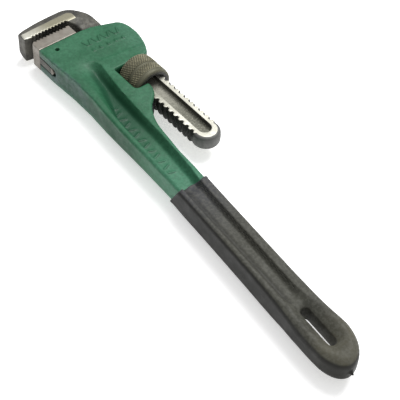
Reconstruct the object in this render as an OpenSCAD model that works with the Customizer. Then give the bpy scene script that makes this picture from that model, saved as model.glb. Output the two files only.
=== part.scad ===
// Heavy pipe wrench, 600 mm class, lying on its side.
// The outlines below are drawn about the jaw shank: X runs along the shank towards the handle's end,
// Y from the mouth side towards the nut, and Z across the wrench. place() then moves the whole wrench
// so that the origin is the middle of its footprint, at the height of its lowest point.

/* [Jaws] */
// Gap between the tooth tips as the wrench lies
rest_gap = 5; // [4:0.5:6]
// Widest opening between the tooth tips
max_opening = 89; // [80:1:90]
// Thickness of the hook jaw's head
hook_thick = 32; // [30:0.5:34]
// Thickness of the heel jaw
heel_thick = 29.6; // [28:0.2:30]
// Spacing of the jaw teeth
tooth_pitch = 4.3; // [4:0.1:4.6]
// Depth of the jaw teeth
tooth_depth = 2.4; // [1.8:0.1:2.8]

/* [Shank and nut] */
// Thickness of the hook jaw's shank
shank_thick = 17; // [16:0.2:17.4]
// Pitch of the adjusting thread
thread_pitch = 8.3; // [8.1:0.1:8.5]
// Radius over the thread's crests
thread_r = 16.6; // [16.2:0.1:16.8]
// Depth of the thread
thread_depth = 2.4; // [2:0.1:2.6]
// Outer radius of the adjusting nut
nut_r = 23.2; // [22.6:0.1:23.6]
// Length of the adjusting nut
nut_len = 34.6; // [33.6:0.2:35]

/* [Housing and handle] */
// Thickness of the housing
housing_thick = 30; // [29:0.5:31]
// Thickness of the bare handle
handle_thick = 26; // [25:0.5:27]
// Thickness of the handle's web
web_thick = 8; // [6:0.5:10]
// Free length between the nut and each end of its window
window_play = 1.8; // [1.6:0.1:2]
// Thickness of the dipped coat
coat = 2; // [1.5:0.1:2.2]

/* [Springs and pin] */
// Diameter of the heel jaw's pin
pin_d = 5; // [4:0.5:6]
// Diameter of the coil spring's wire
wire_d = 1.4; // [1.2:0.1:1.6]

/* [Hidden] */
$fn = 64;
eps = 0.01;

// Housing
head_x = -92.8;         // end of the housing that carries the heel jaw
back_y = -73;           // back of the housing
crown_y = 31.5;         // top of the housing over the shank
window_x = nut_len / 2 + window_play;
window_floor = -nut_r - 2.1;
horn_y = -8.4;          // tip of the horns beyond the nut
channel_half = shank_thick / 2 + 0.6;
channel_low = -thread_r - 0.6;
channel_high = 22.6;
spring_floor = -23.2;   // floor of the slot between the horns

// Handle
grip_x = 154;           // start of the coat at mid thickness
grip_slant = 7;         // how much further along it starts on one face than at mid thickness
coated_x = 144;         // where the coated outline begins
end_x = 413;            // end of the coated handle
nib_len = 5;            // drip left by the dipping
flange_w = 6.5;         // width of the handle's flanges under the coat
slot_a = [343.5, -78];  // middles of the hanging slot's round ends
slot_b = [381.5, -81.2];
slot_r = 4.8;

// Heel jaw
tongue_thick = 9;
seat_gap = 0.9;         // casting clearance round the tongue
seat_end = -68;
tongue_end = -71;
tongue_y = -39;
pin_at = [-81.9, -56.2];
pin_sunk = 4.5;         // depth of the pin's ends below the housing's sides
heel_x = -109;          // plane of the heel jaw's tooth tips
heel_side = -23;        // side of the heel jaw that faces the shank

// Hook jaw
hook_x = heel_x - rest_gap;
hook_end_y = -76.2;
root_r = thread_r - thread_depth;
thread_from = -24.5;
gap_phase = 41.9;       // a thread gap's place on the mouth side, at mid thickness
thread_to = nut_len / 2 + max_opening - rest_gap + 7;
end_r = 14.7;           // rounding of the shank's end
shank_end = thread_to + 12.8;
recess_from = 9;
recess_to = thread_to - 4.8;
smooth_half = 12.6;
recess_half = 7.6;
recess_depth = 6.5;
crest_flat = 2.4;
gap_root = 2.4;
gap_mouth = thread_pitch - crest_flat;
first_gap = gap_phase - 8 * thread_pitch;
thread_gaps = 17;
lead_angle = atan(thread_pitch / (2 * PI * (thread_r - thread_depth / 2)));

// Nut thread
thread_play = 0.45;
turn_steps = 36;
nut_start = -nut_len / 2 - thread_pitch;
bore_r = root_r + thread_play;
ring_r = nut_r - 0.6;
ring_w = 4.5;
waist_r = nut_r - 1.6;
waist_w = 3.2;

// Springs
spring_x = 30;
spring_thick = 1.2;
spring_len = 21;
spring_w = 12;
spring_bow = 1;
leaf_top = -thread_r - 0.5;
rivet_r = 1.6;
coil_r = 4.3;
coil_low = -37.6;
coil_turns = 5;

// The footprint's middle and the lowest point, which is under the nut
low_x = -138;
low_y = -102;
origin_shift = [-(low_x + end_x + nib_len - 1) / 2, -(low_y + crown_y) / 2, nut_r];

function arc(c, r, a0, a1, n = 10) =
    [for (i = [0:n]) let (a = a0 + (a1 - a0) * i / n) c + r * [cos(a), sin(a)]];
// Quadratic curve from a to c, pulled towards b
function bend(a, b, c, n = 8) =
    [for (i = [0:n]) let (t = i / n) a * pow(1 - t, 2) + b * 2 * t * (1 - t) + c * t * t];

// Edge of the coated handle: along its top, round its end and back along its bottom
handle_edge = concat(
    bend([coated_x, -42.6], [228, -49.6], [290, -54.6], 6),
    bend([305, -55.8], [338, -58.2], [364, -56.2], 6),
    bend([376, -56], [396, -58.6], [406.5, -70], 8),
    bend([408.5, -72.4], [end_x - 0.4, -78.5], [end_x - 0.1, -84], 4),
    bend([end_x - 0.2, -87], [409.5, -99.6], [389, low_y], 8),
    bend([384, low_y], [371, low_y], [350, -99.6], 5),
    bend([330, -97], [270, -90], [coated_x, -80.7], 8));

// The same path moved inwards by d
function inset(path, d) = let (last = len(path) - 1)
    [for (i = [0:last])
        let (along = path[min(i + 1, last)] - path[max(i - 1, 0)])
        path[i] + d / norm(along) * [along[1], -along[0]]];

module place() translate(origin_shift) children();
module plate(thick) translate([0, 0, -thick / 2]) linear_extrude(thick) children();
module across(len) rotate([90, 0, 0]) translate([0, 0, -len / 2]) linear_extrude(len) children();

// A closed solid through rings of points, all with the same number of corners
module ring_solid(rings) {
    m = len(rings[0]);
    n = len(rings);
    polyhedron([for (ring = rings) each ring], concat(
        [[for (j = [0:m - 1]) j]],
        [for (i = [0:n - 2], j = [0:m - 1])
            let (a = i * m + j, b = i * m + (j + 1) % m) [a, a + m, b + m, b]],
        [[for (j = [m - 1:-1:0]) (n - 1) * m + j]]));
}

module casting_outline() polygon(concat(
    [[head_x, back_y], [head_x, -18]],
    bend([-91.6, -6], [-88, 6], [-83, 19], 6),
    bend([-82, 22], [-78, crown_y - 1], [-62, crown_y], 8),
    bend([-54, crown_y], [-34, crown_y - 2], [-21, 20.5], 8),
    arc([-window_x - 3, 15.5], 3, 40, 0, 4),
    arc([-window_x + 1.5, window_floor + 1.5], 1.5, 180, 270, 4),
    arc([window_x - 5, window_floor + 5], 5, 270, 360, 8),
    arc([window_x + 2.5, horn_y - 2.5], 2.5, 180, 90, 5),
    bend([25, horn_y - 0.2], [34, -10.6], [38.5, -15.6], 5),
    bend([46, -24], [58, -34.6], [78, -38.2], 8),
    [[118, -43.4]],
    inset(handle_edge, coat),
    [[102, -77.9], [62, -76.8], [32, -74.6], [0, -71], [-30, -70.8], [-68, back_y]]));

// Hollow in each side of the casting that leaves the web between two flanges
module casting_hollow() polygon(concat(
    [[-58, -54], [-43, -32], [-31, -31], [-14, -38], [27, -47], [79, -49.6], [118, -53.8]],
    inset(handle_edge, coat + flange_w),
    [[102, -70.6], [62, -70], [32, -67.8], [0, -64.4], [-34, -63.6], [-52, -61]]));

// Cuts both hollows, leaving a web of the thickness given
module both_hollows(web) for (s = [0, 1]) mirror([0, 0, s])
    translate([0, 0, web / 2]) linear_extrude(housing_thick) children();

// The hanging slot
module slot(r) {
    turn = atan2(slot_b[1] - slot_a[1], slot_b[0] - slot_a[0]);
    for (p = [slot_a, slot_b]) translate([p[0], p[1], -housing_thick]) cylinder(r = r, h = 2 * housing_thick);
    translate([slot_a[0], slot_a[1], -housing_thick]) rotate([0, 0, turn]) translate([0, -r, 0])
        cube([norm(slot_b - slot_a), 2 * r, 2 * housing_thick]);
}

module casting_solid() intersection() {
    plate(housing_thick) casting_outline();
    across(400) polygon([[-200, -housing_thick / 2], [10, -housing_thick / 2], [75, -handle_thick / 2],
        [500, -handle_thick / 2], [500, handle_thick / 2], [75, handle_thick / 2],
        [10, housing_thick / 2], [-200, housing_thick / 2]]);
}

module handle_casting() color([0.16, 0.42, 0.29]) difference() {
    casting_solid();
    both_hollows(web_thick) casting_hollow();
    // Passage for the shank through the housing
    translate([head_x - 1, channel_low, -channel_half])
        cube([-window_x - head_x + 2, channel_high - channel_low, 2 * channel_half]);
    // Slot between the two horns, and the coil spring's pocket in its floor
    translate([window_x - 6, spring_floor, -channel_half]) cube([60, 60, 2 * channel_half]);
    translate([spring_x, spring_floor + 1, 0]) rotate([90, 0, 0])
        cylinder(r = coil_r + wire_d / 2 + 0.6, h = spring_floor + 1 - coil_low + 0.1);
    // Seat of the heel jaw's tongue
    translate([head_x - 1, back_y - 1, -tongue_thick / 2 - seat_gap])
        cube([seat_end - head_x + 1, tongue_y - back_y + 1 + seat_gap, tongue_thick + 2 * seat_gap]);
    translate([seat_end, tongue_y + seat_gap, 0]) rotate([90, 0, 0])
        cylinder(r = tongue_thick / 2 + seat_gap, h = tongue_y - back_y + 2);
    translate([pin_at[0], pin_at[1], -housing_thick]) cylinder(d = pin_d, h = 2 * housing_thick);
    slot(slot_r + coat);
}

module dip_grip() color([0.2, 0.2, 0.2]) difference() {
    union() {
        intersection() {
            plate(handle_thick + 2 * coat) polygon(handle_edge);
            across(400) polygon([[grip_x - 2 * grip_slant, -handle_thick], [500, -handle_thick],
                [500, handle_thick], [grip_x + 2 * grip_slant, handle_thick]]);
        }
        // Drip nib left at the end
        translate([end_x - 3, -85.5, 0]) rotate([0, 90, -8]) cylinder(r1 = 3, r2 = 0.6, h = nib_len + 2);
    }
    both_hollows(web_thick + 2 * coat) polygon(inset(handle_edge, 2 * coat + flange_w));
    slot(slot_r);
    difference() {
        casting_solid();
        both_hollows(web_thick) casting_hollow();
        slot(slot_r + coat);
    }
}

// Row of teeth along Y: tips at x = 0, roots towards +X, from y_low up for n teeth
function tooth_row(n, y_low) = [for (i = [0:n - 1], k = [0, 1])
    [k == 0 ? tooth_depth : 0, y_low + (i + (k == 0 ? 0 : 0.35)) * tooth_pitch]];
tooth_count = 11;
tooth_low = -71.2;

module heel_jaw() color([0.72, 0.69, 0.64]) difference() {
    union() {
        plate(heel_thick) translate([heel_x, 0]) polygon(concat(
            [[head_x - heel_x, back_y], [3.5, back_y], [1.6, tooth_low]],
            tooth_row(tooth_count, tooth_low),
            [[1.2, heel_side], [head_x - heel_x, heel_side]]));
        translate([head_x - eps, back_y, -tongue_thick / 2])
            cube([tongue_end - head_x, tongue_y - back_y, tongue_thick]);
        translate([tongue_end, tongue_y, 0]) rotate([90, 0, 0])
            cylinder(d = tongue_thick, h = tongue_y - back_y);
    }
    translate([pin_at[0], pin_at[1], -housing_thick]) cylinder(d = pin_d, h = 2 * housing_thick);
}

module heel_jaw_pin() color([0.35, 0.35, 0.36])
    translate([pin_at[0], pin_at[1], pin_sunk - housing_thick / 2])
        cylinder(d = pin_d - 0.04, h = housing_thick - 2 * pin_sunk);

// Outline of the hook jaw's head and neck
module hook_outline() polygon(concat(
    [[-60, -smooth_half], [-96, -smooth_half]],
    bend([-99, -smooth_half], [-108, -13], [hook_x + 3, -18], 5),
    [for (p = tooth_row(tooth_count, tooth_low)) [hook_x - p[0], heel_side - 71 - 0.2 - p[1]]],
    [[hook_x - 1, -73], [hook_x - 2, hook_end_y], [-127, hook_end_y]],
    bend([-130.4, -75.6], [-132.6, -70], [-133.4, -63], 5),
    bend([-135.2, -53], [low_x, -42], [low_x, -29], 6),
    bend([low_x, -16], [-136, -2], [-121, 6.4], 8),
    bend([-117, 8.6], [-108, 12.2], [-97, smooth_half], 6),
    [[-60, smooth_half]]));

// One gap of the shank's thread, on the mouth side; s = 1 mirrors it to the nut side
module thread_gap(x, s) {
    face_y = sqrt(root_r * root_r - shank_thick * shank_thick / 4);
    slope = (gap_mouth - gap_root) / 2 / (thread_r - face_y);
    far = thread_r + 1;
    wide = gap_root / 2 + slope * (far - face_y);
    translate([x, 0, 0]) mirror([0, s, 0]) rotate([0, s == 1 ? lead_angle : -lead_angle, 0])
        plate(shank_thick + 8) polygon([[-gap_root / 2, -face_y], [gap_root / 2, -face_y],
            [wide, -far], [-wide, -far]]);
}

module hook_jaw() color([0.36, 0.36, 0.36]) difference() {
    union() {
        intersection() {
            plate(hook_thick) hook_outline();
            across(400) polygon([[-200, -hook_thick / 2], [hook_x - 0.5, -hook_thick / 2],
                [-98, -shank_thick / 2], [0, -shank_thick / 2], [0, shank_thick / 2],
                [-98, shank_thick / 2], [hook_x - 0.5, hook_thick / 2], [-200, hook_thick / 2]]);
        }
        translate([-61, -smooth_half, -shank_thick / 2]) cube([40, 2 * smooth_half, shank_thick]);
        intersection() {
            translate([thread_from, 0, 0]) rotate([0, 90, 0])
                cylinder(r = thread_r, h = shank_end - end_r - thread_from, $fn = 96);
            cube([400, 60, shank_thick], center = true);
        }
        plate(shank_thick) intersection() {
            translate([shank_end - end_r, 0]) circle(end_r, $fn = 96);
            translate([shank_end - end_r - 0.1, -20]) square([40, 40]);
        }
    }
    for (i = [0:thread_gaps - 1]) {
        thread_gap(first_gap + i * thread_pitch, 0);
        thread_gap(first_gap + (i + 0.5) * thread_pitch, 1);
    }
    for (s = [0, 1]) mirror([0, 0, s]) translate([0, 0, shank_thick / 2 - recess_depth]) {
        translate([recess_from, -recess_half, 0]) cube([recess_to - recess_from, 2 * recess_half, 20]);
        for (x = [recess_from, recess_to]) translate([x, 0, 0]) cylinder(r = recess_half, h = 20);
    }
}

// Cut of the nut's thread: the shank's tooth with play, turned round the axis
module nut_thread_cut() {
    face = function(r) sqrt(r * r - shank_thick * shank_thick / 4);
    slope = (gap_mouth - gap_root) / (thread_r - face(root_r));
    half = function(r) (thread_pitch - gap_root - slope * (face(r) - face(root_r))) / 2 + thread_play;
    r_in = bore_r - 0.6;
    r_out = thread_r + thread_play;
    steps = ceil((nut_len / thread_pitch + 2) * turn_steps);
    start = 180 + (nut_start - gap_phase - thread_pitch / 2) * 360 / thread_pitch;
    ring_solid([for (i = [0:steps])
        let (x = nut_start + i * thread_pitch / turn_steps, a = start + i * 360 / turn_steps)
        [for (q = [[-half(root_r), r_in], [half(root_r), r_in],
                   [half(thread_r), r_out], [-half(thread_r), r_out]])
            [x + q[0], q[1] * cos(a), q[1] * sin(a)]]]);
}

module adjusting_nut() color([0.45, 0.42, 0.34]) difference() {
    rotate([0, 90, 0]) rotate_extrude($fn = 96) polygon([
        [bore_r, -nut_len / 2], [ring_r - 1.5, -nut_len / 2], [ring_r, 1.5 - nut_len / 2],
        [ring_r, ring_w - nut_len / 2], [nut_r, ring_w + 0.6 - nut_len / 2],
        [nut_r, -waist_w / 2 - 0.8], [waist_r, -waist_w / 2], [waist_r, waist_w / 2],
        [nut_r, waist_w / 2 + 0.8], [nut_r, nut_len / 2 - ring_w - 0.6],
        [ring_r, nut_len / 2 - ring_w], [ring_r, nut_len / 2 - 1.5],
        [ring_r - 1.5, nut_len / 2], [bore_r, nut_len / 2]]);
    nut_thread_cut();
}

// Bowed leaf that bears on the shank's mouth side
module flat_spring() color([0.3, 0.3, 0.32]) difference() {
    top = bend([-spring_len / 2, -spring_bow], [0, spring_bow], [spring_len / 2, -spring_bow], 10);
    translate([spring_x, leaf_top, 0]) plate(spring_w) polygon(concat(
        top, [for (i = [len(top) - 1:-1:0]) top[i] - [0, spring_thick]]));
    translate([spring_x, leaf_top + 1, 0]) rotate([90, 0, 0]) cylinder(r = rivet_r, h = 5, $fn = 32);
}

module spring_rivet() color([0.6, 0.6, 0.6]) translate([spring_x, leaf_top, 0]) rotate([90, 0, 0]) {
    translate([0, 0, 0.2]) cylinder(r = rivet_r - 0.02, h = spring_thick + 0.2, $fn = 32);
    translate([0, 0, spring_thick + 0.1]) cylinder(r = 2.8, h = 1, $fn = 32);
    translate([0, 0, spring_thick + 1]) cylinder(r = 1.8, h = 3, $fn = 32);
}

// Round wire wound about the pocket's axis
module coil_spring() color([0.5, 0.5, 0.52]) {
    sides = 8;
    steps = coil_turns * 20;
    low = coil_low + wire_d / 2;
    high = leaf_top - spring_thick - 0.15 - wire_d / 2;
    ring_solid([for (i = [0:steps]) let (a = 360 * coil_turns * i / steps, y = low + (high - low) * i / steps)
        [for (j = [0:sides - 1]) let (b = 360 * j / sides, r = coil_r + wire_d / 2 * cos(b))
            [spring_x + r * cos(a), y + wire_d / 2 * sin(b), r * sin(a)]]]);
}

place() handle_casting();
place() dip_grip();
place() heel_jaw();
place() heel_jaw_pin();
place() hook_jaw();
place() adjusting_nut();
place() flat_spring();
place() coil_spring();
place() spring_rivet();
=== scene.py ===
import math

import bpy
import numpy as np
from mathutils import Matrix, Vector


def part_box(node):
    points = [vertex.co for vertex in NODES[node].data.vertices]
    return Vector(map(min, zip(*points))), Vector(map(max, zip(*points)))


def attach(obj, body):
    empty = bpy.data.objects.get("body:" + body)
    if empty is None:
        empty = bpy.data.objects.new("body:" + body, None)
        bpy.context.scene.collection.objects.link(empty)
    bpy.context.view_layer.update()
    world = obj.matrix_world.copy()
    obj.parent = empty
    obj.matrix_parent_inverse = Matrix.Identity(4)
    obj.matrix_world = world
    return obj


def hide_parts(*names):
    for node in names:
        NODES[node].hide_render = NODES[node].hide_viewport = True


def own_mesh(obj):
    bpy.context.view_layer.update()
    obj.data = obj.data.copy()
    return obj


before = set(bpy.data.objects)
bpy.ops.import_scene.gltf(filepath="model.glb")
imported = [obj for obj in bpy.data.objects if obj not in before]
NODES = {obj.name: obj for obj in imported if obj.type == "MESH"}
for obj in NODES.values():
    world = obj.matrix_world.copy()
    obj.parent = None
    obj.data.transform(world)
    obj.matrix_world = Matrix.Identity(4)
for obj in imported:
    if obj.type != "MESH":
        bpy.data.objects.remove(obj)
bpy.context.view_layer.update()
MM = 0.001


# ---------------------------------------------------------------- camera
def make_camera():
    data = bpy.data.cameras.new("camera")
    data.lens, data.sensor_width = 107.9, 36.0
    data.clip_start, data.clip_end = 0.05, 20.0
    cam = bpy.data.objects.new("camera", data)
    cam.location = (0.6286, -0.5524, 0.9081)
    cam.rotation_euler = [math.radians(a) for a in (41.825, -2.010, 50.807)]
    bpy.context.scene.collection.objects.link(cam)
    bpy.context.scene.camera = cam


make_camera()

# ---------------------------------------------------------------- the wrench's own axes
# Design millimetres: X along the shank, Y towards the nut side, Z across, about the nut's middle.
NUT_LOW, NUT_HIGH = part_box("adjusting_nut")
ORIGIN = np.array((NUT_LOW + NUT_HIGH) / 2) / MM


def size_of(node):
    low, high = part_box(node)
    return np.array(high - low) / MM


# Sizes that the frame holds
NUT_LEN, NUT_R = size_of("adjusting_nut")[0], size_of("adjusting_nut")[2] / 2
HOOK_HALF = size_of("hook_jaw")[2] / 2
HEEL_HALF = size_of("heel_jaw")[2] / 2
CASTING_HALF = size_of("handle_casting")[2] / 2

# The rest repeat the CAD model's dimensions
HANDLE_HALF = 13.0
WEB_HALF = 4.0
COAT = 2.0
GRIP_X, GRIP_SLANT = 154.0, 7.0
COATED_X = 144.0
HEAD_X, BACK_Y, CROWN_Y = -92.8, -73.0, 31.5
WINDOW_X, WINDOW_FLOOR = NUT_LEN / 2 + 1.8, -NUT_R - 2.1
HORN_Y = -8.4
SHANK_HALF = 8.5
CHANNEL_HALF = SHANK_HALF + 0.6
SLOT_A, SLOT_B, SLOT_R = (343.5, -78.0), (381.5, -81.2), 4.8
TONGUE_HALF, TONGUE_END, TONGUE_Y = 4.5, -71.0, -39.0
SEAT_GAP, SEAT_END = 0.9, -68.0
PIN_AT, PIN_R = (-81.9, -56.2), 2.5
SPRING_X, SPRING_FLOOR, POCKET_R, POCKET_LOW = 30.0, -23.2, 5.6, -37.7
HEEL_X, HEEL_SIDE = -109.0, -23.0
HOOK_X, HOOK_END_Y = -114.0, -76.2
TOOTH_PITCH, TOOTH_DEPTH, TOOTH_COUNT, TOOTH_LOW = 4.3, 2.4, 11, -71.2
THREAD_PITCH, THREAD_R, ROOT_R, GAP_PHASE = 8.3, 16.6, 14.2, 41.9
NECK_HALF = 12.6
THREAD_FROM, END_R = -24.5, 14.7
END_X = 106.4                 # centre of the shank's round end
RECESS_FROM, RECESS_TO, RECESS_HALF, RECESS_FLOOR = 9.0, 103.5, 7.6, 2.0

# Only this script has these
RELIEF = 0.85                 # height of the blank ticks and studs
SHALLOW_X, SHALLOWER = 160, 0.34    # where the hollow gets shallower, and by what share
BULB_X, BULB_BLEND = 318, 34  # where the hollow starts to turn into the bulb's valley
VALLEY_REACH = 16             # how far the valley runs out from the hanging slot
DISH_DEPTH, FOOT_DEPTH = 0.8, 0.9


# ---------------------------------------------------------------- outlines
def arc(centre, r, a0, a1, n=10):
    return [(centre[0] + r * math.cos(a), centre[1] + r * math.sin(a))
            for a in np.radians(np.linspace(a0, a1, n + 1))]


def bend(a, b, c, n=8):
    """Quadratic curve from a to c, pulled towards b."""
    a, b, c = np.array(a), np.array(b), np.array(c)
    return [tuple(a * (1 - t) ** 2 + b * 2 * t * (1 - t) + c * t * t) for t in np.linspace(0, 1, n + 1)]


def inset(path, d):
    """The same path moved inwards by d, one number or one per point."""
    p = np.array(path)
    along = p[np.minimum(np.arange(len(p)) + 1, len(p) - 1)] - p[np.maximum(np.arange(len(p)) - 1, 0)]
    along /= np.linalg.norm(along, axis=1)[:, None]
    return [tuple(q) for q in p + np.reshape(d, (-1, 1)) * np.stack([along[:, 1], -along[:, 0]], 1)]


EDGE_TOP = (bend((COATED_X, -42.6), (228, -49.6), (290, -54.6), 6)
            + bend((305, -55.8), (338, -58.2), (364, -56.2), 6)
            + bend((376, -56), (396, -58.6), (406.5, -70)))
EDGE_LOW = (bend((408.5, -72.4), (412.6, -78.5), (412.9, -84), 4)
            + bend((412.8, -87), (409.5, -99.6), (389, -102))
            + bend((384, -102), (371, -102), (350, -99.6), 5)
            + bend((330, -97), (270, -90), (COATED_X, -80.7)))
HANDLE_EDGE = EDGE_TOP + EDGE_LOW

CASTING_OUTLINE = (
    [(HEAD_X, BACK_Y), (HEAD_X, -18)]
    + bend((-91.6, -6), (-88, 6), (-83, 19), 6)
    + bend((-82, 22), (-78, CROWN_Y - 1), (-62, CROWN_Y))
    + bend((-54, CROWN_Y), (-34, CROWN_Y - 2), (-21, 20.5))
    + arc((-WINDOW_X - 3, 15.5), 3, 40, 0, 4)
    + arc((-WINDOW_X + 1.5, WINDOW_FLOOR + 1.5), 1.5, 180, 270, 4)
    + arc((WINDOW_X - 5, WINDOW_FLOOR + 5), 5, 270, 360)
    + arc((WINDOW_X + 2.5, HORN_Y - 2.5), 2.5, 180, 90, 5)
    + bend((25, HORN_Y - 0.2), (34, -10.6), (38.5, -15.6), 5)
    + bend((46, -24), (58, -34.6), (78, -38.2))
    + [(118, -43.4)] + inset(HANDLE_EDGE, COAT)
    + [(102, -76.8), (62, -75.4), (32, -73.7), (0, -71), (-30, -70.8), (-68, BACK_Y)])

# The hollow's edge under the nut side's flange, under the back flange, and at its blind end
EDGE_X = np.array(HANDLE_EDGE)[:, 0]
HIGH_INSET = COAT + np.interp(EDGE_X, [144, 175, 320, 360], [5.6, 8.6, 9.6, 6.0])
LOW_INSET = COAT + np.interp(EDGE_X, [144, 200, 320, 360], [3.6, 2.8, 4.8, 6.0])
HOLLOW_HIGH = ([(-46, -40), (-41, -34.6), (-33, -32.4), (-18, -35.2), (-5, -37.2), (12, -39.6), (50, -42.2),
                (86, -44.2), (118, -47.2)] + inset(HANDLE_EDGE, HIGH_INSET)[:len(EDGE_TOP)])
HOLLOW_LOW = (inset(HANDLE_EDGE, LOW_INSET)[len(EDGE_TOP):]
              + [(102, -71.8), (62, -70.4), (32, -68), (0, -65.4), (-34, -64.6), (-52, -62)])
HOLLOW_END = [(-56, -56), (-53, -45)]


def tooth_row():
    """Tips at x = 0 and roots towards +X, from the tip of the jaw upwards."""
    return [(TOOTH_DEPTH * (1 - k), TOOTH_LOW + (i + 0.35 * k) * TOOTH_PITCH)
            for i in range(TOOTH_COUNT) for k in (0, 1)]


HEEL_OUTLINE = (
    [(HEAD_X, BACK_Y), (HEEL_X + 3.5, BACK_Y), (HEEL_X + 1.6, TOOTH_LOW)]
    + [(HEEL_X + x, y) for x, y in tooth_row()]
    + [(HEEL_X + 1.2, HEEL_SIDE), (HEAD_X, HEEL_SIDE)])
HOOK_OUTLINE = (
    [(-20, -NECK_HALF), (-96, -NECK_HALF)]
    + bend((-99, -NECK_HALF), (-108, -13), (HOOK_X + 3, -18), 5)
    + [(HOOK_X - x, HEEL_SIDE - 71.2 - y) for x, y in tooth_row()]
    + [(HOOK_X - 1, -73), (HOOK_X - 2, HOOK_END_Y), (-127, HOOK_END_Y)]
    + bend((-130.8, -75.4), (-133.8, -70), (-134.8, -63), 5)
    + bend((-136.6, -53), (-138, -42), (-138, -29), 6)
    + bend((-138, -16), (-136, -2), (-121, 6.4))
    + bend((-117, 8.6), (-108, 12.2), (-97, NECK_HALF), 6)
    + [(-20, NECK_HALF)])
# The flat that is ground bright beside the hook jaw's teeth
PAD_OUTLINE = ([(-113, -79), (-124.3, -79), (-125.9, -15)]
               + arc((-119.8, -15.2), 6.1, 180, 90, 8)
               + arc((-114.6, -14.2), 5.1, 90, 0, 8) + [(-109.5, -18)])


# ---------------------------------------------------------------- solid fields, negative inside
def path_distance(path, x, y):
    """Distance of each point from an open path."""
    best = np.full(np.broadcast(x, y).shape, np.inf)
    for (ax, ay), (bx, by) in zip(path[:-1], path[1:]):
        ex, ey = bx - ax, by - ay
        t = np.clip(((x - ax) * ex + (y - ay) * ey) / max(ex * ex + ey * ey, 1e-9), 0, 1)
        best = np.minimum(best, (x - ax - t * ex) ** 2 + (y - ay - t * ey) ** 2)
    return np.sqrt(best)


def outline_field(outline, x, y):
    """Signed distance from a closed outline."""
    closed = list(outline) + [outline[0]]
    inside = np.zeros(np.broadcast(x, y).shape, bool)
    for (ax, ay), (bx, by) in zip(closed[:-1], closed[1:]):
        if ay != by:
            inside ^= ((ay > y) != (by > y)) & (x < ax + (bx - ax) * (y - ay) / (by - ay))
    return np.where(inside, -1, 1) * path_distance(closed, x, y)


def box_field(x, y, z, low, high):
    field = np.maximum(low[0] - x, x - high[0])
    field = np.maximum(field, np.maximum(low[1] - y, y - high[1]))
    return np.maximum(field, np.maximum(low[2] - z, z - high[2]))


def rounded(a, b, r):
    """Where both fields are inside, with an edge of radius r between them."""
    return np.minimum(-r, np.maximum(a, b)) + np.hypot(np.maximum(a + r, 0), np.maximum(b + r, 0))


def joined(a, b, r):
    """Where either field is inside, with a fillet of radius r between them."""
    return -rounded(-a, -b, r)


def cut(field, *tools):
    for tool in tools:
        field = np.maximum(field, -tool)
    return field


def smooth(t):
    t = np.clip(t, 0, 1)
    return t * t * (3 - 2 * t)


def root_fillet(t):
    """A ramp that starts steep and runs out softly."""
    t = np.clip(t, 0, 1)
    return 0.35 * smooth(t) + 0.65 * (1 - (1 - t) ** 2)


def slot_field(x, y, r):
    return path_distance([SLOT_A, SLOT_B], x, y) - r


# ---------------------------------------------------------------- surface of a field
def surface_net(field, axes):
    """Points and quads of the surface where a sampled field changes sign."""
    shape = np.array(field.shape)
    stride = np.array([shape[1] * shape[2], shape[2], 1])
    cells, places, flips = [], [], []
    for axis in range(3):
        u, v = (axis + 1) % 3, (axis + 2) % 3
        low = np.take(field, range(shape[axis] - 1), axis)
        high = np.take(field, range(1, shape[axis]), axis)
        at = np.argwhere((low < 0) != (high < 0))
        a, b = low[tuple(at.T)], high[tuple(at.T)]
        place = at.astype(float)
        place[:, axis] += a / (a - b)
        base = at @ stride
        cells.append(np.stack([base - stride[u] - stride[v], base - stride[v], base, base - stride[u]], 1))
        places.append(place)
        flips.append(a >= 0)
    cells, places, flips = np.concatenate(cells), np.concatenate(places), np.concatenate(flips)
    used, index = np.unique(cells, return_inverse=True)
    index = index.reshape(-1, 4)
    count = np.bincount(index.ravel(), minlength=len(used))
    points = np.stack([np.bincount(index.ravel(), np.repeat(places[:, k], 4), len(used))
                       for k in range(3)], 1)
    points /= count[:, None]
    step = axes[0][1] - axes[0][0]
    points = points * step + np.array([axis[0] for axis in axes])
    index[flips] = index[flips][:, ::-1]
    return points, index


def make_mesh(name, points, quads):
    mesh = bpy.data.meshes.new(name)
    mesh.vertices.add(len(points))
    mesh.vertices.foreach_set("co", ((points + ORIGIN) * MM).astype(np.float32).ravel())
    mesh.loops.add(quads.size)
    mesh.loops.foreach_set("vertex_index", quads.astype(np.int32).ravel())
    mesh.polygons.add(len(quads))
    mesh.polygons.foreach_set("loop_start", np.arange(0, quads.size, 4, dtype=np.int32))
    mesh.update(calc_edges=True)
    mesh.validate()
    return mesh


def thinned(obj, keep):
    """Takes away the triangles that flat and gently curved stretches don't need."""
    thin = obj.modifiers.new("thin", "DECIMATE")
    thin.ratio = keep
    done = bpy.data.meshes.new_from_object(obj.evaluated_get(bpy.context.evaluated_depsgraph_get()))
    obj.modifiers.clear()
    obj.data = done


def solid_piece(name, field_of, low, high, step, keep, sharp=40):
    """A closed mesh of a field, sampled over a box in design millimetres."""
    axes = [np.arange(low[k], high[k] + step, step) for k in range(3)]
    x, y, z = (axes[k].reshape([-1 if k == j else 1 for j in range(3)]).astype(np.float32) for k in range(3))
    field = field_of(x, y, z)
    obj = bpy.data.objects.new(name, make_mesh(name, *surface_net(field, axes)))
    bpy.context.scene.collection.objects.link(obj)
    thinned(obj, keep)
    obj.data.shade_smooth()
    obj.data.set_sharp_from_angle(angle=math.radians(sharp))
    return obj


def points_of(obj):
    co = np.empty(len(obj.data.vertices) * 3, np.float32)
    obj.data.vertices.foreach_get("co", co)
    return (co.reshape(-1, 3) / MM - ORIGIN).T


def paint_mask(obj, name, values):
    obj.data.attributes.new(name, "FLOAT", "POINT").data.foreach_set(
        "value", np.clip(values, 0, 1).astype(np.float32))


# ---------------------------------------------------------------- handle casting
def full_half(x):
    return np.interp(x, [10, 75], [CASTING_HALF, HANDLE_HALF])


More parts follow.
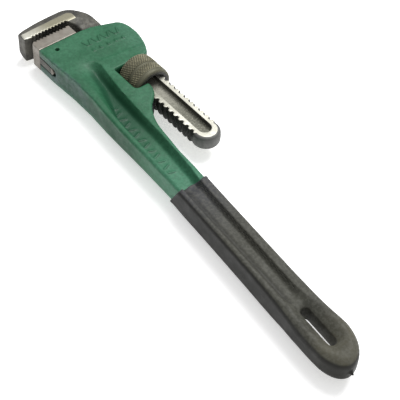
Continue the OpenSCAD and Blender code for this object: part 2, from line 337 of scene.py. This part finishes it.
def hollow_share(x, y):
    """0 on the flanges and 1 on the web, with sloping walls between."""
    inside = outline_field(HOLLOW_HIGH + HOLLOW_LOW + HOLLOW_END, x, y) < 0
    high_wall = np.interp(x, [-40, 0, 140, 180, 310, 352], [11, 7, 6, 4.4, 4.8, 12])
    low_wall = np.interp(x, [-50, -15, 35, 180, 310, 352], [34, 26, 7, 3.6, 4, 12])
    share = (root_fillet(path_distance(HOLLOW_HIGH, x, y) / high_wall)
             * smooth(path_distance(HOLLOW_LOW, x, y) / low_wall)
             * smooth((x + 56) / 34))
    # Towards the bulb the hollow turns into a rounded valley that leads into the hanging slot
    rise = np.clip(slot_field(x, y, SLOT_R - 2) / VALLEY_REACH, 0, 1)
    valley = 0.95 * (1 - rise) ** 1.9
    share = share * (1 - SHALLOWER * smooth((x - SHALLOW_X) / 12))
    bulb = smooth((x - BULB_X) / BULB_BLEND)
    return np.where(inside, share, 0) * (1 - bulb) + valley * bulb


def bar_relief(x, y, middle, half_len, half_wide, turn):
    """A blank raised bar with round ends: 1 on top of it and 0 around it."""
    c, s = math.cos(math.radians(turn)), math.sin(math.radians(turn))
    dx, dy = x - middle[0], y - middle[1]
    over = np.maximum(np.abs(c * dx + s * dy) - half_len, 0)
    return smooth(0.5 - (np.hypot(over, c * dy - s * dx) - half_wide) / 0.8)


def relief(x, y):
    """1 on the blank ticks and studs that stand where the real casting has lettering."""
    ticks = [((-70.8 + 0.3 * k, -27 + 6 * k), 3.6, 1.1, 20 - 40 * (k % 2)) for k in range(8)]
    ticks += [((-57.5 + 0.5 * k, -25 + 9.6 * k), 0.6, 1.5, 0) for k in range(5)]
    ticks += [((22 + 9 * k, -57 - 0.62 * k), 3.4, 1.1, 70 + 40 * (k % 2)) for k in range(13)]
    raised = 0
    for middle, half_len, half_wide, turn in ticks:
        raised = np.maximum(raised, bar_relief(x, y, middle, half_len, half_wide, turn))
    return raised


def casting_half(x, y):
    """Half thickness of the casting at each point."""
    full = full_half(x)
    half = full - (full - WEB_HALF) * hollow_share(x, y)
    # The side is dished beside a low step that runs across the housing
    before_step = -38.7 + 5.1 * (y + 25) / 46.6 - x
    dish = smooth(before_step / 1.8) * (1 - smooth((before_step - 5) / 24))
    half = half - DISH_DEPTH * dish * smooth((y + 32) / 5) * smooth((27 - y) / 5)
    # The web sinks a little along the foot of the back flange
    foot = np.exp(-((path_distance(HOLLOW_LOW, x, y) - 6.4) / 2.2) ** 2)
    foot = foot * smooth((x - 150) / 20) * smooth((335 - x) / 20)
    return half + RELIEF * relief(x, y) - FOOT_DEPTH * foot * (hollow_share(x, y) > 0.6)


def casting_field(x, y, z):
    edge = outline_field(CASTING_OUTLINE, x, y)
    r = np.interp(x, [-10, 60, 152, 200, 320, 360], [1.8, 3.0, 3.8, 4.4, 4.6, 8.0])
    r = r * np.where((y < -68) & (x < 335), np.interp(x, [150, 170, 300, 335], [1, 0.6, 0.6, 1]), 1)
    return rounded(edge, np.abs(z) - casting_half(x, y), r)


def casting_openings(x, y, z):
    """The passage, slots and holes cut through the casting."""
    flat = np.hypot(x - SPRING_X, z) - POCKET_R
    pocket = np.maximum(flat, np.maximum(POCKET_LOW - y, y - SPRING_FLOOR - 1))
    seat = TONGUE_HALF + SEAT_GAP
    tongue = box_field(x, y, z, (HEAD_X - 3, BACK_Y - 3, -seat), (SEAT_END, TONGUE_Y + SEAT_GAP, seat))
    tongue_end = np.maximum(np.hypot(x - SEAT_END, z) - seat, y - TONGUE_Y - SEAT_GAP)
    return [
        box_field(x, y, z, (HEAD_X - 3, -17.2, -CHANNEL_HALF), (-WINDOW_X + 2, 22.6, CHANNEL_HALF)),
        box_field(x, y, z, (WINDOW_X - 6, SPRING_FLOOR, -CHANNEL_HALF), (WINDOW_X + 54, 37, CHANNEL_HALF)),
        pocket, tongue, tongue_end,
        np.hypot(x - PIN_AT[0], y - PIN_AT[1]) - PIN_R + 0 * z,
        slot_field(x, y, SLOT_R + COAT) + 0 * z]


def whole_casting(x, y, z):
    return cut(casting_field(x, y, z), *casting_openings(x, y, z))


# ---------------------------------------------------------------- dipped grip
def grip_field(x, y, z):
    core = casting_field(x, y, z)
    wave = GRIP_X + GRIP_SLANT * z / HANDLE_HALF + 0.5 * np.sin(0.45 * y + 1)
    lip = 0.5 * np.exp(-((x - wave - 1.5) / 1.8) ** 2)
    coat = rounded(core - COAT - lip, wave - x, 1.2)
    away = np.maximum(x - 411, 0)
    nib = np.hypot(y + 85.5 + 0.14 * away, z) - 2.9 + 0.4 * away
    nib = np.maximum(nib, np.maximum(407 - x, x - 417))
    coat = joined(coat, nib, 2.0)
    coat = cut(coat, slot_field(x, y, SLOT_R) + 0 * z)
    return cut(coat, np.maximum(core, slot_field(x, y, SLOT_R + COAT) * -1))


# ---------------------------------------------------------------- heel jaw
def heel_field(x, y, z):
    body = rounded(outline_field(HEEL_OUTLINE, x, y), np.abs(z) - HEEL_HALF, 0.7)
    tongue = box_field(x, y, z, (HEAD_X - 1, BACK_Y, -TONGUE_HALF), (TONGUE_END, TONGUE_Y, TONGUE_HALF))
    end = np.maximum(np.hypot(x - TONGUE_END, z) - TONGUE_HALF, np.maximum(BACK_Y - y, y - TONGUE_Y))
    whole = np.minimum(body, np.minimum(tongue, end))
    return cut(whole, np.hypot(x - PIN_AT[0], y - PIN_AT[1]) - PIN_R + 0 * z)


# ---------------------------------------------------------------- hook jaw
def head_half(x, y):
    """Half thickness of the hook: flat over the ground pad and falling away round it."""
    away = np.maximum(outline_field(PAD_OUTLINE, x, y), 0)
    half = HOOK_HALF - 0.5 * smooth(away / 0.9) - 0.3 * np.maximum(away - 0.6, 0)
    neck = SHANK_HALF + (HOOK_HALF - 0.9 - SHANK_HALF) * smooth((-97.5 - x) / 19)
    on_neck = smooth((x + 117) / 7)
    return np.minimum(half, neck) * on_neck + half * (1 - on_neck)


def thread_radius(x, y, z):
    """Outer radius of the shank's thread, a right-hand helix."""
    turn = np.arctan2(z, y) / (2 * math.pi) - 0.5
    phase = np.mod((x - GAP_PHASE) / THREAD_PITCH - turn + 0.5, 1) - 0.5
    rise = smooth((np.abs(phase) * THREAD_PITCH - 1.0) / 2.1)
    return ROOT_R + (THREAD_R - ROOT_R) * rise


def hook_field(x, y, z):
    outline = outline_field(HOOK_OUTLINE, x, y)
    r = np.interp(x, [-126, -118, -112, -104], [3.2, 0.8, 0.8, 2.6])
    head = rounded(outline, np.abs(z) - head_half(x, y), r)
    head = np.maximum(head, x + 30)
    plain = rounded(np.abs(y) - NECK_HALF, np.abs(z) - SHANK_HALF, 0.8)
    plain = np.maximum(plain, np.maximum(-62 - x, x + 21))
    past_thread = smooth((x - END_X + 5) / 5)
    radius = thread_radius(x, y, z) * (1 - past_thread) + END_R * past_thread
    thread = np.maximum(np.hypot(y, z) - radius, np.abs(z) - SHANK_HALF)
    thread = np.maximum(thread, np.maximum(THREAD_FROM - x, x - END_X))
    barrel = END_R + 0.9 * (1 - (z / SHANK_HALF) ** 2)
    end = rounded(np.hypot(x - END_X, y) - barrel, np.abs(z) - SHANK_HALF, 3.4)
    end = np.maximum(end, END_X - 2 - x)
    whole = np.minimum(np.minimum(head, plain), np.minimum(thread, end))
    return cut(whole, rounded(recess_span(x, y) - RECESS_HALF, RECESS_FLOOR - np.abs(z), 1.4))


def recess_span(x, y):
    """Distance from the middle line of the recess in the shank's side."""
    return np.hypot(np.maximum(np.maximum(RECESS_FROM - x, x - RECESS_TO), 0), y)


# ---------------------------------------------------------------- adjusting nut
def nut_radius(x):
    """Outer profile along the nut: end rings, two knurled bands and a plain groove."""
    half = NUT_LEN / 2
    at = [-half, -half + 1.5, -half + 4.5, -half + 5.1, -2.4, -1.6,
          1.6, 2.4, half - 5.1, half - 4.5, half - 1.5, half]
    r = [NUT_R - 2.1, NUT_R - 0.6, NUT_R - 0.6, NUT_R, NUT_R, NUT_R - 1.6]
    return np.interp(x, at, r + r[::-1])


def knurled(x):
    """1 on the nut's two knurled bands and 0 on its groove and its plain end."""
    off_groove = smooth((np.abs(x) - 1.9) / 0.5)
    return off_groove * smooth((x + NUT_LEN / 2 - 0.8) / 0.6) * smooth((NUT_LEN / 2 - 5.6 - x) / 0.6)


KNURLS_ROUND, KNURL_PITCH, KNURL_DEPTH = 54, 2.8, 0.75


def nut_field(x, y, z):
    r = np.hypot(y, z)
    turns = np.arctan2(z, y) / (2 * math.pi)
    rising = np.abs(np.sin(math.pi * (turns * KNURLS_ROUND + x / KNURL_PITCH)))
    falling = np.abs(np.sin(math.pi * (turns * KNURLS_ROUND - x / KNURL_PITCH)))
    outer = r - nut_radius(x) + KNURL_DEPTH * (1 - np.minimum(rising, falling)) * knurled(x)
    phase = np.mod((x - GAP_PHASE) / THREAD_PITCH - turns + 1, 1) - 0.5
    groove = smooth((np.abs(phase) * THREAD_PITCH - 0.8) / 2.1)
    bore = r - (ROOT_R + 0.45 + (THREAD_R - ROOT_R) * groove)
    body = rounded(outer, np.abs(x) - NUT_LEN / 2, 0.6)
    return cut(body, joined(bore, r - THREAD_R - 0.8 + NUT_LEN / 2 - np.abs(x), 0.2))


# ---------------------------------------------------------------- materials
class Shade:
    """A procedural material on one Principled shader, patterned in the part's own coordinates."""

    def __init__(self, name, metallic=0.0, specular=0.5, **uniform):
        self.material = bpy.data.materials.new(name)
        self.material.use_nodes = True
        self.tree = self.material.node_tree
        self.shader = self.tree.nodes["Principled BSDF"]
        self.shader.inputs["Metallic"].default_value = metallic
        self.shader.inputs["Specular IOR Level"].default_value = specular
        for key, value in uniform.items():
            self.shader.inputs[key.replace("_", " ")].default_value = value
        self.place = self.tree.nodes.new("ShaderNodeTexCoord").outputs["Object"]

    def node(self, kind, **inputs):
        made = self.tree.nodes.new("ShaderNode" + kind)
        for key, value in inputs.items():
            self.feed(made.inputs[key], value)
        return made

    def feed(self, socket, value):
        if isinstance(value, bpy.types.NodeSocket):
            self.tree.links.new(value, socket)
        elif isinstance(value, tuple) and len(value) == 3 and socket.type == "RGBA":
            socket.default_value = (*value, 1)
        else:
            socket.default_value = value

    def along(self, axis):
        """Design coordinate in millimetres: 0 along the shank, 1 towards the nut side, 2 across."""
        split = self.node("SeparateXYZ", Vector=self.place)
        place = self.maths("SUBTRACT", split.outputs[axis], float(ORIGIN[axis]) * MM)
        return self.maths("MULTIPLY", place, 1 / MM)

    def stretched(self, scale):
        made = self.node("Mapping", Vector=self.place)
        made.inputs["Scale"].default_value = scale
        return made.outputs["Vector"]

    def noise(self, size, detail=3.0, roughness=0.55, stretch=None):
        """Noise whose lumps are about size millimetres across."""
        place = self.place if stretch is None else self.stretched(stretch)
        return self.node("TexNoise", Vector=place, Scale=1 / (size * MM), Detail=detail,
                         Roughness=roughness).outputs["Fac"]

    def band(self, value, low, high, out_low=0.0, out_high=1.0):
        made = self.node("MapRange", Value=value)
        made.inputs["From Min"].default_value, made.inputs["From Max"].default_value = low, high
        made.inputs["To Min"].default_value, made.inputs["To Max"].default_value = out_low, out_high
        made.interpolation_type = "SMOOTHSTEP"
        return made.outputs["Result"]

    def maths(self, kind, a, b):
        made = self.tree.nodes.new("ShaderNodeMath")
        made.operation = kind
        self.feed(made.inputs[0], a)
        self.feed(made.inputs[1], b)
        return made.outputs[0]

    def mix(self, share, a, b):
        made = self.tree.nodes.new("ShaderNodeMix")
        made.data_type = "RGBA"
        self.feed(made.inputs["Factor"], share)
        self.feed(made.inputs[6], a)
        self.feed(made.inputs[7], b)
        return made.outputs[2]

    def mask(self, name):
        made = self.tree.nodes.new("ShaderNodeAttribute")
        made.attribute_name = name
        return made.outputs["Fac"]

    def finish(self, colour, roughness, bumps=()):
        self.feed(self.shader.inputs["Base Color"], colour)
        self.feed(self.shader.inputs["Roughness"], roughness)
        normal = None
        for height, depth in bumps:
            made = self.node("Bump", Height=height, Strength=1.0, Distance=depth * MM)
            if normal is not None:
                self.tree.links.new(normal, made.inputs["Normal"])
            normal = made.outputs["Normal"]
        if normal is not None:
            self.tree.links.new(normal, self.shader.inputs["Normal"])
        return self.material


def green_paint():
    s = Shade("green_paint", specular=0.22)
    cloud = s.band(s.noise(30, 5, 0.62), 0.35, 0.66)
    colour = s.mix(cloud, (0.024, 0.112, 0.055), (0.042, 0.154, 0.083))
    near_grip = s.band(s.along(0), 70.0, 150.0)
    deep = s.band(s.maths("ABSOLUTE", s.along(2), 0.0), 12.0, 7.0)
    in_shade = s.maths("MULTIPLY", deep, s.band(s.along(0), 120.0, 40.0))
    colour = s.mix(s.maths("MULTIPLY", near_grip, 0.75), colour, (0.068, 0.22, 0.135))
    colour = s.mix(s.maths("MULTIPLY", in_shade, 0.8), colour, (0.008, 0.052, 0.025))
    # Painted light: lighter green towards the crown side of the housing, as if lit from there
    lit_crown_side = s.maths("MULTIPLY", s.band(s.along(1), 0.0, 26.0), 0.45)
    colour = s.mix(lit_crown_side, colour, (0.066, 0.185, 0.118))
    chips = s.band(s.maths("ADD", s.mask("wear"), s.noise(5, 5, 0.7)), 1.12, 1.24)
    worn = s.maths("MULTIPLY", s.mask("back"), s.band(s.noise(24, 4, 0.65), 0.35, 0.7))
    colour = s.mix(s.maths("MULTIPLY", worn, 0.8), colour, (0.115, 0.16, 0.16))
    colour = s.mix(s.maths("MULTIPLY", chips, 0.75), colour, (0.17, 0.2, 0.18))
    # Painted shade: darker green on the sloping sides of the raised ticks and studs
    colour = s.mix(s.maths("MULTIPLY", s.mask("relief"), 0.7), colour, (0.008, 0.036, 0.020))
    grain = s.band(s.noise(3.4, 3, 0.6), 0.42, 0.6)
    colour = s.mix(s.maths("MULTIPLY", grain, 0.3), colour, (0.012, 0.062, 0.031))
    rough = s.band(s.noise(9, 3), 0.3, 0.7, 0.38, 0.52)
    return s.finish(colour, rough, [(s.noise(1.3, 2), 0.12), (s.noise(7, 3), 0.4)])


def dip_coat():
    s = Shade("dip_coat", specular=0.18, Sheen_Weight=0.03, Sheen_Roughness=0.5)
    cloud = s.band(s.noise(60, 3), 0.35, 0.65)
    colour = s.mix(cloud, (0.044, 0.044, 0.036), (0.058, 0.058, 0.047))
    colour = s.mix(s.maths("MULTIPLY", s.mask("start"), 0.85), colour, (0.055, 0.056, 0.066))
    tan = s.maths("MULTIPLY", s.mask("bulb"), s.band(s.noise(30, 3), 0.3, 0.7, 0.4, 1.0))
    colour = s.mix(tan, colour, (0.118, 0.110, 0.078))
    dust = s.band(s.noise(3.2, 3, 0.6), 0.42, 0.62)
    colour = s.mix(s.maths("MULTIPLY", dust, 0.34), colour, (0.13, 0.13, 0.11))
    # Painted shade: the grip's back side face is darkened almost to black
    colour = s.mix(s.maths("MULTIPLY", s.mask("side"), 0.9), colour, (0.012, 0.012, 0.011))
    # Painted shade: a dark line along the web at the foot of the back flange
    colour = s.mix(s.maths("MULTIPLY", s.mask("groove"), 0.7), colour, (0.02, 0.02, 0.018))
    rough = s.band(s.noise(14, 3), 0.3, 0.7, 0.46, 0.62)
    return s.finish(colour, rough, [(s.noise(0.9, 2), 0.04), (s.noise(11, 2), 0.25)])


def ground_steel():
    s = Shade("ground_steel", metallic=0.55, specular=0.5)
    cloud = s.band(s.noise(16, 4), 0.35, 0.68)
    colour = s.mix(cloud, (0.185, 0.165, 0.14), (0.26, 0.24, 0.21))
    stain = s.band(s.noise(6, 5, 0.7), 0.56, 0.72)
    colour = s.mix(s.maths("MULTIPLY", stain, 0.5), colour, (0.24, 0.19, 0.14))
    colour = s.mix(s.maths("MULTIPLY", s.mask("tongue"), 0.75), colour, (0.04, 0.045, 0.04))
    lines = s.noise(0.9, 3, 0.6, (1, 0.04, 1))
    rough = s.band(s.noise(5, 3), 0.3, 0.7, 0.4, 0.58)
    return s.finish(colour, rough, [(lines, 0.04), (s.noise(1.5, 2), 0.05)])


def forged_steel():
    """Dark forging scale, ground bright on the jaw's pad and the shank's rim."""
    s = Shade("forged_steel", metallic=0.45, specular=0.4)
    cloud = s.band(s.noise(15, 5, 0.6), 0.32, 0.7)
    scale = s.mix(cloud, (0.046, 0.045, 0.041), (0.125, 0.121, 0.103))
    rust = s.band(s.noise(5, 5, 0.7), 0.58, 0.75)
    scale = s.mix(s.maths("MULTIPLY", rust, 0.4), scale, (0.17, 0.13, 0.085))
    grit = s.band(s.noise(1.6, 4, 0.75), 0.5, 0.62)
    floor = s.mix(grit, (0.12, 0.12, 0.095), (0.25, 0.245, 0.20))
    floor = s.mix(s.maths("MULTIPLY", s.band(s.along(0), 80.0, 20.0), 0.5), floor, (0.42, 0.41, 0.35))
    scale = s.mix(s.band(s.along(0), 95.0, 112.0), scale, (0.135, 0.135, 0.13))
    colour = s.mix(s.mask("recess"), scale, floor)
    ground = s.mix(s.band(s.noise(10, 4), 0.35, 0.7), (0.50, 0.49, 0.42), (0.64, 0.63, 0.56))
    near_nut = s.maths("MULTIPLY", s.band(s.along(0), 75.0, 15.0), s.band(s.along(1), 3.0, -6.0))
    past_neck = s.band(s.along(0), -30.0, -10.0)
    ground = s.mix(s.maths("MULTIPLY", near_nut, past_neck), ground, (0.24, 0.24, 0.19))
    ragged = s.maths("MULTIPLY", s.noise(2.5, 4, 0.7), 0.3)
    edge = s.band(s.maths("ADD", s.mask("ground"), ragged), 0.55, 0.75)
    ground = s.mix(s.mask("pad_shade"), ground, (0.27, 0.255, 0.185))
    # Painted shade: the thread's flanks below the rim are darkened almost to black
    colour = s.mix(s.maths("MULTIPLY", s.mask("flank_shade"), 0.8), colour, (0.022, 0.022, 0.02))
    colour = s.mix(edge, colour, ground)
    rough = s.mix(edge, s.band(s.noise(4, 3), 0.3, 0.7, 0.5, 0.68), (0.42, 0.42, 0.42))
    lines = s.maths("MULTIPLY", s.noise(0.8, 3, 0.6, (0.05, 1, 1)), edge)
    return s.finish(colour, rough, [(s.noise(1.6, 4, 0.7), 0.12), (lines, 0.05)])


def nut_steel():
    s = Shade("nut_steel", metallic=0.3, specular=0.35)
    cloud = s.band(s.noise(12, 4), 0.35, 0.68)
    colour = s.mix(cloud, (0.19, 0.18, 0.112), (0.31, 0.29, 0.185))
    # Painted shade: the knurl's valleys are darkened
    colour = s.mix(s.mask("low"), colour, (0.03, 0.03, 0.022))
    colour = s.mix(s.mask("plain"), colour, (0.115, 0.112, 0.075))
    # Painted shade: the bore and the inner part of the end faces are darkened
    colour = s.mix(s.mask("end"), colour, (0.05, 0.05, 0.048))
    rough = s.band(s.noise(4, 3), 0.3, 0.7, 0.5, 0.62)
    return s.finish(colour, rough, [(s.noise(0.8, 3), 0.03)])


def dark_steel(name, dark, light):
    s = Shade(name, metallic=0.8)
    colour = s.mix(s.band(s.noise(3, 4), 0.35, 0.7), dark, light)
    return s.finish(colour, s.band(s.noise(2, 3), 0.3, 0.7, 0.35, 0.5), [(s.noise(0.6, 2), 0.02)])


# ---------------------------------------------------------------- pieces
def fit_out(piece, node, body, material):
    """Gives a piece its body and its finish, and hides the CAD node that it stands for."""
    piece.data.materials.clear()
    piece.data.materials.append(material)
    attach(piece, body)
    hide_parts(node)


def make_casting():
    piece = solid_piece("wrench_handle", whole_casting, (-94.5, -102, -16), (412.5, 33, 16), 0.9, 0.5)
    x, y, z = points_of(piece)
    edge = -outline_field(CASTING_OUTLINE, x, y)
    top = casting_half(x, y) - np.abs(z)
    paint_mask(piece, "wear", 0.75 - np.hypot(edge, top) / 3.2)
    raised = relief(x, y)
    # The sloping sides of the ticks and studs, where painted shade goes
    paint_mask(piece, "relief", 4 * raised * (1 - raised) * (top < 2))
    paint_mask(piece, "back", smooth(1.5 - edge / 2) * smooth((-62 - y) / 6) * smooth((40 - x) / 90))
    fit_out(piece, "handle_casting", "handle", green_paint())


def make_grip():
    piece = solid_piece("dipped_grip", grip_field, (140, -104, -17), (419.5, -39, 17), 0.9, 0.45)
    x, y, z = points_of(piece)
    paint_mask(piece, "start", smooth((250 - x) / 110))
    paint_mask(piece, "bulb", 0.75 * smooth((x - 345) / 45))
    edge = -outline_field(CASTING_OUTLINE, x, y)
    # The grip's back side face, where painted shade goes
    paint_mask(piece, "side", smooth((0.5 - edge) / 1.6) * (path_distance(EDGE_LOW, x, y) < 6))
    # The web along the foot of the back flange, where painted shade goes
    near_foot = 1 - smooth((path_distance(HOLLOW_LOW, x, y) - 6) / 4)
    paint_mask(piece, "groove", (x < 330) * (edge > 2) * hollow_share(x, y) * near_foot)
    fit_out(piece, "dip_grip", "handle", dip_coat())


def make_heel_jaw():
    piece = solid_piece("heel_jaw_insert", heel_field, (-112, -75, -16), (-64, -21, 16), 0.5, 0.5, 35)
    x, y, z = points_of(piece)
    paint_mask(piece, "tongue", smooth((x - HEAD_X - 0.5) / 0.8) * smooth((-70 - x) / 1.5))
    fit_out(piece, "heel_jaw", "handle", ground_steel())


def make_hook_jaw():
    piece = solid_piece("hook_jaw_forging", hook_field, (-140, -77, -17.5), (123.5, 18, 17.5), 0.6, 0.5, 35)
    x, y, z = points_of(piece)
    pad = smooth(0.5 - outline_field(PAD_OUTLINE, x, y) / 0.8) * smooth((np.abs(z) - HOOK_HALF + 1.0) / 0.6)
    in_recess = (recess_span(x, y) < RECESS_HALF + 0.2) & (np.abs(z) < SHANK_HALF - 0.3) & (x > 0)
    rim = smooth((np.abs(z) - SHANK_HALF + 0.5) / 0.35) * (x > -22)
    rounding = smooth((np.hypot(x - END_X, y) - END_R + 3.6) / 1.4) * (x > END_X - 2)
    paint_mask(piece, "ground", np.maximum(pad, rim * (1 - rounding)) * np.where(in_recess, 0, 1))
    paint_mask(piece, "recess", in_recess & (np.abs(z) < RECESS_FLOOR + 1.2))
    below_rim = smooth((SHANK_HALF - 0.1 - np.abs(z)) / 0.3)
    # The thread's flanks below the rim, where painted shade goes
    paint_mask(piece, "flank_shade", smooth((np.abs(y) - 11) / 2) * (x > -24) * (x < END_X - 3) * below_rim)
    paint_mask(piece, "pad_shade", pad * smooth((y + 72) / 34))
    fit_out(piece, "hook_jaw", "hook", forged_steel())


def make_nut():
    reach = NUT_R + 1
    low, high = (-18.4, -reach, -reach), (18.4, reach, reach)
    piece = solid_piece("knurled_nut", nut_field, low, high, 0.36, 0.6, 60)
    x, y, z = points_of(piece)
    r = np.hypot(y, z)
    outside = r > NUT_R - 2.6
    paint_mask(piece, "plain", (1 - knurled(x)) * outside)
    # The knurl's valleys, where painted shade goes
    paint_mask(piece, "low", smooth((nut_radius(x) - 0.28 - r) / 0.3) * outside * knurled(x))
    # The bore and the inner part of the end faces, where painted shade goes
    paint_mask(piece, "end", smooth((NUT_R - 1.8 - r) / 1.5))
    fit_out(piece, "adjusting_nut", "nut", nut_steel())


def finish_small_nodes():
    """The pin, the rivet and the springs keep their CAD shapes, and the coil gets a mesh of its own."""
    pin = dark_steel("pin_steel", (0.06, 0.06, 0.06), (0.14, 0.14, 0.14))
    spring = dark_steel("spring_steel", (0.05, 0.05, 0.06), (0.13, 0.13, 0.15))
    finishes = {"heel_jaw_pin": pin, "spring_rivet": pin, "flat_spring": spring, "coil_spring": spring}
    for name, material in finishes.items():
        NODES[name].data.materials.clear()
        NODES[name].data.materials.append(material)
    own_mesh(NODES["coil_spring"])


make_casting()
make_grip()
make_heel_jaw()
make_hook_jaw()
make_nut()
finish_small_nodes()


# ---------------------------------------------------------------- floor and light
def make_floor():
    bpy.ops.mesh.primitive_plane_add(size=12, location=(0, 0, 0))
    floor = bpy.context.object
    floor.name = "floor"
    s = Shade("floor_white", specular=0.2)
    s.shader.inputs["Emission Color"].default_value = (1, 1, 1, 1)
    s.shader.inputs["Emission Strength"].default_value = 0.48
    floor.data.materials.append(s.finish((0.93, 0.93, 0.93), 0.7))


def area_light(name, place, target, size, power):
    data = bpy.data.lights.new(name, "AREA")
    data.size, data.energy = size, power
    lamp = bpy.data.objects.new(name, data)
    lamp.location = place
    lamp.rotation_euler = (Vector(target) - Vector(place)).to_track_quat("-Z", "Y").to_euler()
    bpy.context.scene.collection.objects.link(lamp)


def make_world():
    """Pale sky light, weaker near the horizon."""
    world = bpy.data.worlds.new("world")
    world.use_nodes = True
    tree = world.node_tree
    direction = tree.nodes.new("ShaderNodeTexCoord").outputs["Generated"]
    split = tree.nodes.new("ShaderNodeSeparateXYZ")
    tree.links.new(direction, split.inputs[0])
    ramp = tree.nodes.new("ShaderNodeMapRange")
    tree.links.new(split.outputs["Z"], ramp.inputs["Value"])
    ramp.inputs["From Min"].default_value, ramp.inputs["From Max"].default_value = 0.0, 0.8
    ramp.inputs["To Min"].default_value, ramp.inputs["To Max"].default_value = 0.12, 0.56
    tree.links.new(ramp.outputs["Result"], tree.nodes["Background"].inputs["Strength"])
    tree.nodes["Background"].inputs["Color"].default_value = (1, 1, 1, 1)
    bpy.context.scene.world = world


make_floor()
make_world()
area_light("key", (-0.3, 0.95, 2.0), (0, 0, 0), size=1.4, power=52)
bpy.context.scene.view_settings.view_transform = "Standard"
